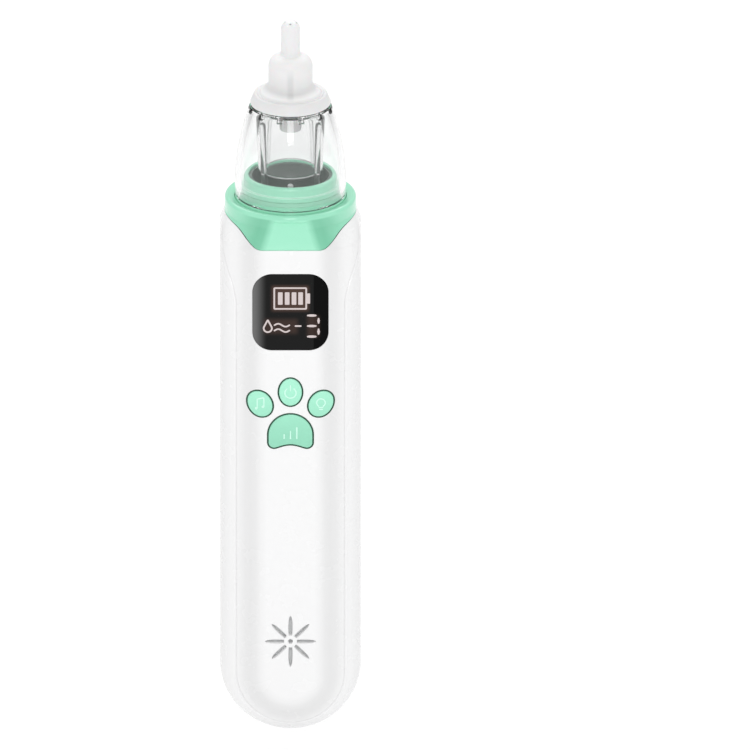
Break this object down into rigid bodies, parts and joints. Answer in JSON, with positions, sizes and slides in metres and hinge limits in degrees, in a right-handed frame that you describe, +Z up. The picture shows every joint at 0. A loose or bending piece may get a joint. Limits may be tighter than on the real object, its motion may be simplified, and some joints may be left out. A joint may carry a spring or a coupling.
{
  "type": "nasal aspirator",
  "caption": "Hand-held electric nasal aspirator: a slim rounded handle with a small display and a cluster of buttons, a clear collection head, and a soft silicone nozzle.",
  "frame": {"origin": "lowest point of the handle's rounded end, on the long axis", "axes": "+Z up the long axis to the nozzle's tip; the display and buttons face -Y; +X to the right when the display is looked at"},
  "size_m": [0.038, 0.0364, 0.202],
  "materials": {
    "white_shell": "smooth semi-gloss moulded ABS",
    "mint_gloss": "glossy mint moulded plastic",
    "mint_button": "satin mint plastic",
    "dark_green": "matt dark green silicone",
    "dark_lens": "polished dark window",
    "clear": "clear polished polycarbonate",
    "silicone": "milky translucent silicone",
    "dark_silicone": "dark grey-green silicone",
    "mint_seal": "soft mint silicone",
    "soft_white": "soft white silicone",
    "grey_part": "plain moulded plastic",
    "black_part": "plain black moulded plastic",
    "board_green": "solder-masked board",
    "steel": "plated steel",
    "bronze": "sintered bronze",
    "magnet": "ferrite",
    "copper": "enamelled copper on laminations",
    "battery_wrap": "shrink-wrapped cell",
    "felt": "grey felt"
  },
  "bodies": {
    "root": {"front_shell": "white_shell", "rear_shell": "white_shell", "collar": "mint_gloss", "base_ring": "mint_gloss", "well_liner": "dark_silicone", "backflow_valve": "dark_silicone", "dome_seal": "mint_seal", "light_board": "board_green", "light_led": "clear", "display_lens": "dark_lens", "display_module": "black_part", "display_bracket": "black_part", "button_bezel": "dark_green", "main_board": "board_green", "board_screws": "steel", "speaker": "black_part", "speaker_mesh": "felt", "battery": "battery_wrap", "battery_contacts": "steel", "battery_holder": "grey_part", "charge_board": "board_green", "charge_socket": "steel", "motor_can": "steel", "motor_endcap": "black_part", "motor_magnets": "magnet", "motor_bushes": "bronze", "motor_cushion": "dark_silicone", "pump_frame": "grey_part", "swing_plate": "grey_part", "pump_diaphragm": "dark_silicone", "valve_plate": "grey_part", "pump_cover": "grey_part", "inlet_hose": "silicone", "exhaust_muffler": "felt", "power_switch": "black_part", "music_switch": "black_part", "light_switch": "black_part", "level_switch": "black_part"},
    "head": {"clear_dome": "clear", "collection_cup": "clear"},
    "nozzle_body": {"nozzle": "silicone"},
    "rotor": {"motor_shaft": "steel", "motor_rotor": "copper", "eccentric": "black_part"},
    "port_flap": {"port_cover": "soft_white"},
    "power_key": {"power_button": "mint_button", "power_plunger": "black_part"},
    "music_key": {"music_button": "mint_button", "music_plunger": "black_part"},
    "light_key": {"light_button": "mint_button", "light_plunger": "black_part"},
    "level_key": {"level_button": "mint_button", "level_plunger": "black_part"}
  },
  "joints": [
    {"name": "head_pull", "type": "slide", "parent": "root", "child": "head", "axis": [0, 0, 1], "range_m": [0, 0.04]},
    {"name": "nozzle_pull", "type": "slide", "parent": "head", "child": "nozzle_body", "axis": [0, 0, 1], "range_m": [0, 0.025]},
    {"name": "motor_spin", "type": "hinge", "parent": "root", "child": "rotor", "pos_m": [0, 0.0034, 0.098], "axis": [0, 0, 1], "continuous": true},
    {"name": "cover_flap", "type": "hinge", "parent": "root", "child": "port_flap", "pos_m": [0, 0.018, 0.0274], "axis": [1, 0, 0], "range_deg": [0, 110]},
    {"name": "power_press", "type": "slide", "parent": "root", "child": "power_key", "axis": [0, 1, 0], "range_m": [0, 0.0005], "stiffness_N_per_m": 3000},
    {"name": "music_press", "type": "slide", "parent": "root", "child": "music_key", "axis": [0, 1, 0], "range_m": [0, 0.0005], "stiffness_N_per_m": 3000},
    {"name": "light_press", "type": "slide", "parent": "root", "child": "light_key", "axis": [0, 1, 0], "range_m": [0, 0.0005], "stiffness_N_per_m": 3000},
    {"name": "level_press", "type": "slide", "parent": "root", "child": "level_key", "axis": [0, 1, 0], "range_m": [0, 0.0005], "stiffness_N_per_m": 3000}
  ]
}
